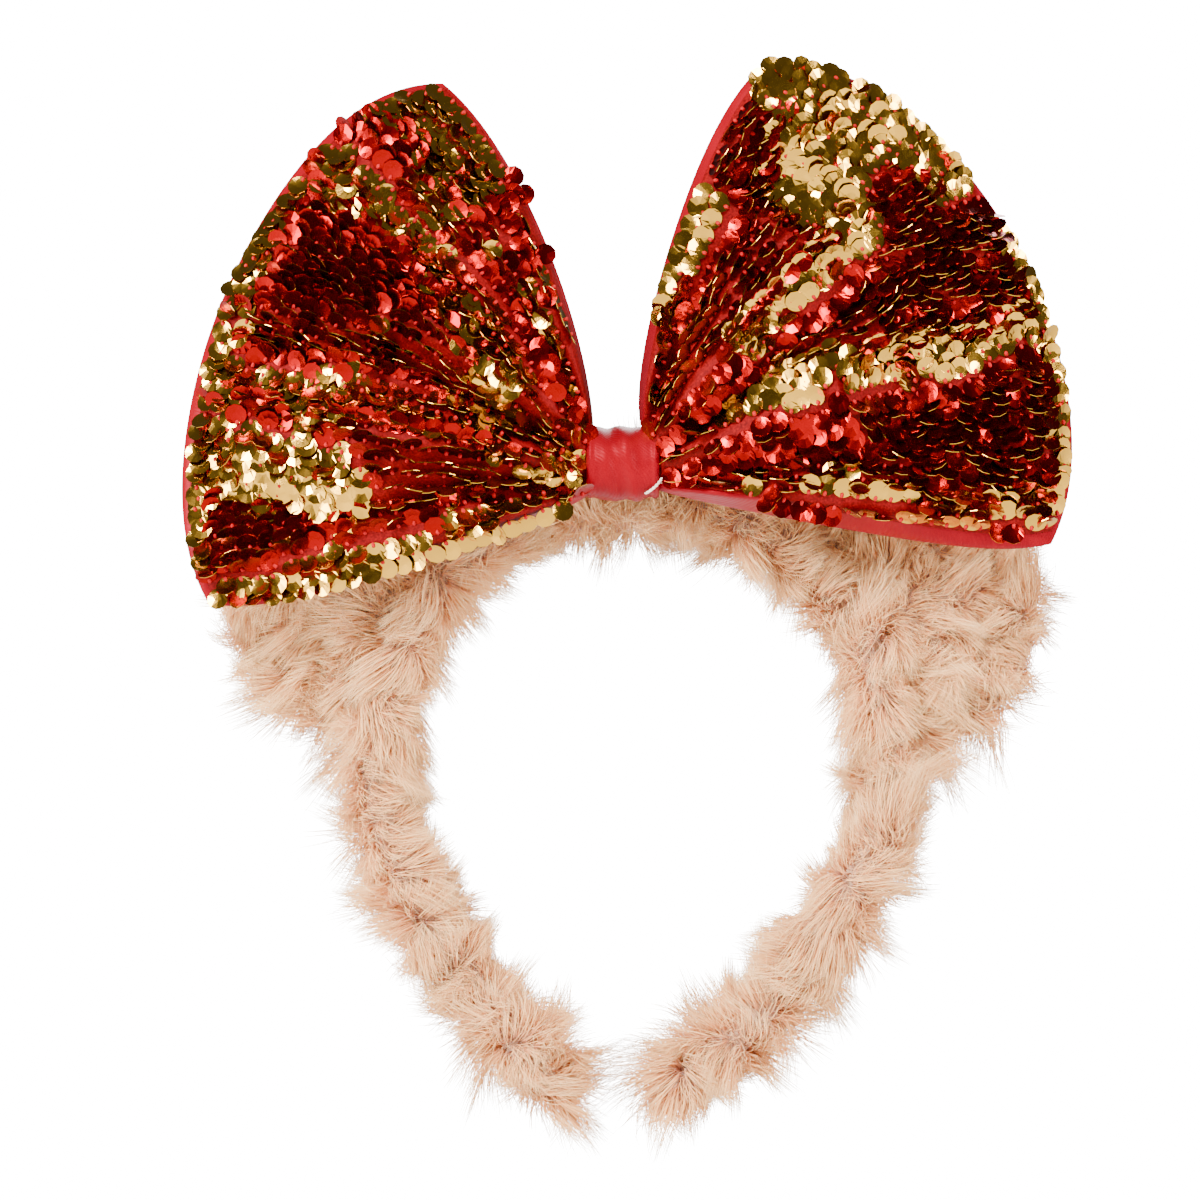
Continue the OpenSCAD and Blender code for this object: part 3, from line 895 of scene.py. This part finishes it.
def one_sequin():
    """A cupped disc with a hole, as three rings round the hole, front then back: its points, its faces, which
    face is front (0), back (1) or edge (2), and each point's place on the disc."""
    rays = 16
    a = np.arange(rays) * 2 * math.pi / rays
    ux, uy = np.cos(a), np.sin(a)
    reach = -HOLE_AT * ux + np.sqrt(np.maximum(SEQUIN_R ** 2 - (HOLE_AT * uy) ** 2, 0))
    rings = [np.full(rays, SEQUIN_HOLE), SEQUIN_HOLE + (reach - SEQUIN_HOLE) * 0.45, reach]
    pts, loc = [], []
    for r in rings:
        x, y = r * ux, r * uy
        far2 = ((x + HOLE_AT) ** 2 + y ** 2) / SEQUIN_R ** 2
        pts.append(np.stack([x, y, 0.30 * MM * far2], -1))
        loc.append(np.stack([(x + HOLE_AT) / SEQUIN_R, y / SEQUIN_R], -1))
    top = np.concatenate(pts)
    bottom = top - [0, 0, SEQUIN_THICK]
    n = 3 * rays
    up = grid_faces(3, rays, closed=True)
    k = np.arange(rays)
    j = (k + 1) % rays
    wall = np.stack([k, k + n, j + n, j], -1)
    faces = np.concatenate([up, up[:, ::-1] + n, wall, (wall + 2 * rays)[:, ::-1]])
    kinds = np.repeat([0, 1, 2], [len(up), len(up), 2 * rays])
    return np.concatenate([top, bottom]), faces, kinds, np.concatenate(loc * 2)


def copies(pts, at, x_axis, y_axis, z_axis):
    """A copy of pts at each place, with its own x axis turned against x_axis."""
    return (at[:, None] - x_axis[:, None] * pts[None, :, :1] + y_axis[:, None] * pts[None, :, 1:2]
            + z_axis[:, None] * pts[None, :, 2:3])


def build_sequins(side):
    """The sequins of one lobe, all of one mesh: gold on one face and red on the other."""
    name = SIDE_NAME[side]
    rng = np.random.default_rng(121 + side)
    u, v = sequin_places(side)
    count = len(u)
    p, du, dv, normal = frames_on_front(side, u, v)
    dv = np.where(dv[:, 2:3] < 0, -dv, dv)
    gap = near_band(side, u, v) - 0.8 + rng.normal(0, 0.8, count)
    gold = (gap < 0) ^ (rng.uniform(0, 1, count) < 0.02)
    # gold discs hang down on the left lobe and stand up on the right one, and red discs the other way
    turned = np.where(gold, 1.0, -1.0) * (-1.0 if side == LEFT else 1.0)
    sway = rng.normal(0, 0.16, count) + (0.35 if side == LEFT else 0.2) * turned * smooth(0.5, 0, v)
    lay = unit(dv * turned[:, None] * np.cos(sway)[:, None] + du * np.sin(sway)[:, None])
    tilt = np.radians(np.where(gold, rng.normal(17, 12, count), rng.normal(50, 12, count)))
    tilt = np.where((np.abs(gap) < 2.2) & (v > 0.1), tilt * 0.5, tilt)  # discs lie flatter along a parting
    tilt = tilt + math.radians(20) * smooth(0.09, 0.03, v) * gold       # and stand off the lower edge
    tilt = np.clip(tilt, math.radians(4), math.radians(76))
    roll = rng.normal(0, 0.09, count) + np.where(gold, 0, rng.normal(0, 0.10, count))
    x_axis = unit(lay * np.cos(tilt)[:, None] + normal * np.sin(tilt)[:, None])
    y_axis = unit(np.cross(normal, lay))
    z_axis = np.cross(x_axis, y_axis)
    y_axis, z_axis = (y_axis * np.cos(roll)[:, None] + z_axis * np.sin(roll)[:, None],
                      z_axis * np.cos(roll)[:, None] - y_axis * np.sin(roll)[:, None])
    if np.mean((z_axis * normal).sum(1)) < 0:
        z_axis, y_axis = -z_axis, -y_axis
    # the local x axis of a sequin points from its middle to its hole, so the disc lies along -x
    pts, faces, kinds, loc = one_sequin()
    stitch = p + normal * (0.75 * MM)
    verts = copies(pts, stitch, x_axis, y_axis, z_axis)
    every = faces[None] + (np.arange(count) * len(pts))[:, None, None]
    slots = np.where(kinds[None] == 2, 0, np.where((kinds[None] == 0) == gold[:, None], 0, 1))
    cells = math.ceil(math.sqrt(count))
    cell = np.stack([np.arange(count) % cells, np.arange(count) // cells], -1)
    uv = (cell[:, None] + 0.5 + 0.46 * loc[None]) / cells
    uv = uv[np.arange(count)[:, None, None], faces[None]]
    discs = mesh_object(f"sequins_{name}", verts.reshape(-1, 3), every.reshape(-1, 4), [GOLD, RED],
                        uv=uv.reshape(-1, 2), face_slots=slots.ravel(), shade_smooth=False)
    bend_with_bow(discs)
    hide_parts(f"bow_{name}_sequins")
    build_stitches(side, stitch, x_axis, y_axis, z_axis)


def build_stitches(side, stitch, x_axis, y_axis, z_axis):
    """A small loop of thread through each sequin's hole and over its near edge."""
    name = SIDE_NAME[side]
    rings, around = 7, 6
    a = np.linspace(0.15, math.pi - 0.15, rings)
    half = 0.42 * MM
    line = np.stack([half * np.cos(a) + 0.30 * MM, 0 * a, 0.62 * MM * np.sin(a) - 0.30 * MM], -1)
    tangent = unit(np.gradient(line, axis=0))
    nrm = np.stack([-tangent[:, 2], 0 * a, tangent[:, 0]], -1)
    thick = 0.46 * MM * np.sqrt(np.sin(a) * 0.8 + 0.2)
    b = np.arange(around) * 2 * math.pi / around
    tube = (line[:, None] + thick[:, None, None] * (np.cos(b)[None, :, None] * nrm[:, None]
            + np.sin(b)[None, :, None] * np.array([0, 1.0, 0])))
    pts = tube.reshape(-1, 3)
    verts = copies(pts, stitch, x_axis, y_axis, z_axis)
    quads = grid_faces(rings, around, closed=True)
    count = len(stitch)
    every = (quads[None] + (np.arange(count) * len(pts))[:, None, None]).reshape(-1, 4).tolist()
    caps = []
    for k in range(count):
        first = k * len(pts)
        caps.append(list(range(first + around - 1, first - 1, -1)))
        caps.append(list(range(first + (rings - 1) * around, first + rings * around)))
    obj = mesh_object(f"stitches_{name}", verts.reshape(-1, 3), every + caps, RED_THREAD)
    bend_with_bow(obj)


def build_ground(side):
    """The mesh cloth that the sequins are sewn to, over the front of the lobe."""
    name = SIDE_NAME[side]
    rows, cols = 70, 80
    v0 = np.linspace(0, 1, cols)
    share = np.linspace(0, 1, rows)[:, None]
    u = 0.005 + share * (panel_out(side, v0)[None] - 0.005)
    lo, hi = panel_edges(side, u)
    v = lo + (hi - lo) * v0[None]
    top = lobe_front(side, u, v, 0.55 * MM)
    under = lobe_front(side, u, v, 0.25 * MM)
    obj = two_skins(f"ground_{name}", side, top, under, GROUND)
    bend_with_bow(obj)
    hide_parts(f"bow_{name}_mesh")
    return obj


def build_lobe(side):
    """One half of the bow: satin skin, filling, ground cloth and sequins."""
    name = SIDE_NAME[side]
    skin = closed_lobe(f"pillow_{name}", side, SATIN, 0.0, 0.0, 0.0)
    filling = closed_lobe(f"filling_{name}", side, FIBRE, 3.0, -1.2 * MM, -1.0 * MM, rows=30, cols=34)
    for piece, node, slot in ((skin, "back", "satin"), (filling, "filling", "filling")):
        bend_with_bow(piece)
        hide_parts(f"bow_{name}_{node}")
    ground = build_ground(side)
    build_sequins(side)


# ---------------------------------------------------------------- knot, gathers, felt and tacking

def barrel(name, radius_at, half, around, along, material, bore):
    """A closed barrel about the X axis, with a bore."""
    a = np.arange(around) * 2 * math.pi / around
    t = np.linspace(-1, 1, along)
    r = radius_at(t[:, None], a[None])
    x = np.broadcast_to((KNOT[0] + half * t)[:, None], r.shape)
    outer = np.stack([x, KNOT[1] + r * np.cos(a)[None], KNOT[2] + r * np.sin(a)[None]], -1)
    hole = np.full(r.shape, bore)
    inner = np.stack([x, KNOT[1] + hole * np.cos(a)[None], KNOT[2] + hole * np.sin(a)[None]], -1)
    n = along * around
    f = grid_faces(along, around, closed=True)
    k = np.arange(around)
    j = (k + 1) % around
    last = (along - 1) * around
    wall = np.stack([k, k + n, j + n, j], -1)
    ends = np.concatenate([wall[:, ::-1], wall + last])
    faces = np.concatenate([f[:, ::-1], f + n, ends])
    verts = np.concatenate([outer.reshape(-1, 3), inner.reshape(-1, 3)])
    return mesh_object(name, verts, faces[:, ::-1].tolist(), material)


def build_knot():
    """The satin wrapped round the middle, and the lobes' gathered ends inside it."""
    def wrapped(t, a):
        lip = 0.9 * MM * np.abs(t) ** 3
        roll = 0.45 * MM * np.exp(-((np.abs(t) - 0.9) / 0.08) ** 2)
        folds = (0.30 * np.sin(7 * t + 1.6 * np.sin(a)) + 0.22 * np.sin(3 * a + 4 * t)
                 + 0.16 * np.sin(11 * t - 2 * a)) * MM
        return KNOT_R - 0.35 * MM - lip + roll + folds * (1 - np.abs(t) ** 4)
    wrap = barrel("knot_satin", wrapped, KNOT_HALF, 120, 56, SATIN, 6.7 * MM)
    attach(wrap, "root")
    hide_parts("knot_wrap")

    def gathered(t, a):
        return (4.9 + 0.45 * np.cos(14 * a + 2 * np.sin(3 * t))) * MM
    gather = barrel("gathered_satin", gathered, KNOT_HALF - 0.3 * MM, 112, 14, SATIN, 0.6 * MM)
    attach(gather, "root")
    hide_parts("bow_gather")


def thread_piece(name, points, radius, material, twist):
    """A thread through points, laid of two yarns that turn by twist radians in each metre."""
    verts, faces = [], []
    pts = np.asarray(points, float)
    tangent = unit(np.gradient(pts, axis=0))
    guide = np.array([0.3, 0.2, 0.93])
    a_dir = unit(np.cross(tangent, guide))
    b_dir = np.cross(tangent, a_dir)
    s = np.concatenate([[0], np.cumsum(np.linalg.norm(np.diff(pts, axis=0), axis=1))])
    around = 8
    a = np.arange(around) * 2 * math.pi / around
    spokes = np.cos(a)[None, :, None] * a_dir[:, None] + np.sin(a)[None, :, None] * b_dir[:, None]
    for yarn in range(2):
        phase = s * twist + math.pi * yarn
        offset = radius * 0.45 * (np.cos(phase)[:, None] * a_dir + np.sin(phase)[:, None] * b_dir)
        ring = (pts + offset)[:, None] + radius * 0.62 * spokes
        first = len(verts)
        verts += ring.reshape(-1, 3).tolist()
        faces += grid_faces(len(pts), around, closed=True, start=first).tolist()
        faces.append(list(range(first + around - 1, first - 1, -1)))
        last = first + (len(pts) - 1) * around
        faces.append(list(range(last, last + around)))
    return mesh_object(name, verts, faces, material)


def build_threads():
    """The thread bound round the gathers, and the stitches that tack the bow to the band."""
    turns = 4
    a = np.linspace(0, 2 * math.pi * turns, 40 * turns)
    r = 5.9 * MM + 0.1 * MM * np.sin(5 * a)
    coil = np.stack([KNOT[0] + (a / (2 * math.pi) - turns / 2) * 1.05 * MM, KNOT[1] + r * np.cos(a),
                     KNOT[2] + r * np.sin(a)], -1)
    binding = thread_piece("binding_thread", coil, 0.4 * MM, PALE_THREAD, 2600)
    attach(binding, "root")
    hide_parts("gather_thread")

    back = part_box("tack_stitches")[1].y
    pieces = []
    t = np.linspace(0, 1, 14)[:, None]
    for dx, dz, lean in ((0.0, -6.2, 1.6), (0.3, -4.2, 0.9), (0.1, -2.3, -0.5)):
        for side, forward, rise in ((LEFT, 2.5, 0.3), (RIGHT, 5.0, lean)):
            x = KNOT[0] + side * (KNOT_HALF + (0.45 + dx) * MM)
            start = np.array([x, KNOT[1] - forward * MM, KNOT[2] + (dz + rise) * MM])
            finish = np.array([x + side * 0.2 * MM, back, KNOT[2] + (dz - 0.6) * MM])
            bow = np.array([side * 0.7 * MM, 0, 0]) * np.sin(math.pi * t)
            pieces.append(start * (1 - t) + finish * t + bow)
    objs = [thread_piece(f"tack_{k}", pts, 0.3 * MM, PALE_THREAD, 3200) for k, pts in enumerate(pieces)]
    # the long stitch that shows at the knot's lower right corner
    t = np.linspace(0, 1, 20)[:, None]
    low = np.array([KNOT[0] + KNOT_HALF - 3.2 * MM, KNOT[1] - KNOT_R * 0.62, KNOT[2] - KNOT_R * 0.80])
    high = np.array([KNOT[0] + KNOT_HALF + 1.4 * MM, KNOT[1] - KNOT_R * 0.72, KNOT[2] - KNOT_R * 0.28])
    out = np.array([0.2 * MM, -1.2 * MM, -0.5 * MM]) * np.sin(math.pi * t)
    objs.append(thread_piece("tack_long", low * (1 - t) + high * t + out, 0.34 * MM, PALE_THREAD, 3200))
    tacking = join("tacking", objs)
    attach(tacking, "root")
    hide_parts("tack_stitches")


def join(name, objs):
    """One piece of several: their meshes joined."""
    first = objs[0]
    with bpy.context.temp_override(active_object=first, selected_objects=objs,
                                   selected_editable_objects=objs):
        bpy.ops.object.join()
    first.name = name
    first.data.name = name
    return first


def build_felt():
    """A soft, slightly uneven pad with round corners."""
    lo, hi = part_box("backing_felt")
    mid = np.array((lo + hi) / 2)
    half = np.array((hi - lo) / 2)
    rings, around = 12, 64
    a = np.arange(around) * 2 * math.pi / around
    c, s = np.cos(a), np.sin(a)
    power = 0.32
    x = np.sign(c) * np.abs(c) ** power * half[0]
    z = np.sign(s) * np.abs(s) ** power * half[2]
    t = np.linspace(0, math.pi, rings)
    shrink = 1 - 0.05 * (1 - np.sin(t))
    y = -half[1] * np.cos(t)
    wave = 1 + 0.012 * np.sin(9 * a)
    verts = np.stack([mid[0] + x[None] * shrink[:, None] * wave, mid[1] + y[:, None] + 0 * x[None],
                      mid[2] + z[None] * shrink[:, None] * wave], -1).reshape(-1, 3)
    faces = grid_faces(rings, around, closed=True)[:, ::-1].tolist()
    faces.append(list(range(around)))
    faces.append(list(range((rings - 1) * around, rings * around))[::-1])
    pad = mesh_object("felt_pad", verts, faces, FELT)
    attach(pad, "root")
    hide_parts("backing_felt")


TUFT_RISE = (CROWN_MID - 8 * MM) * 0.3


def build_front_tuft():
    """Longer fibres that come forward from the band, over the lower edge of the knot."""
    rng = np.random.default_rng(141)
    count = 900
    x = rng.uniform(KNOT[0] - KNOT_HALF - 4 * MM, KNOT[0] + KNOT_HALF + 5 * MM, count)
    z = rng.uniform(1 * MM, 7 * MM, count) + TUFT_RISE
    p = np.stack([x, np.full(count, -BACKING_W + 1.0 * MM), z], -1)
    normal = unit(np.array([0, -1.0, 0.30]) + rng.normal(0, 0.10, (count, 3)))
    lay = np.array([0, -0.2, 1.0]) + rng.normal(0, 0.5, (count, 3))
    length = rng.uniform(10, 16, count) * MM
    curve = comb(p, normal, lay, length, 151, stand=0.88, per_tuft=30)
    curve[..., 1] = np.maximum(curve[..., 1], KNOT[1] - KNOT_R)
    piece = strand_mesh("pile_knot_tuft", curve, 161)
    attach(piece, "root")


for _side in (LEFT, RIGHT):
    build_band_pile(_side)
    build_ear(_side)
    build_lobe(_side)
build_knot()
build_threads()
build_felt()
build_front_tuft()
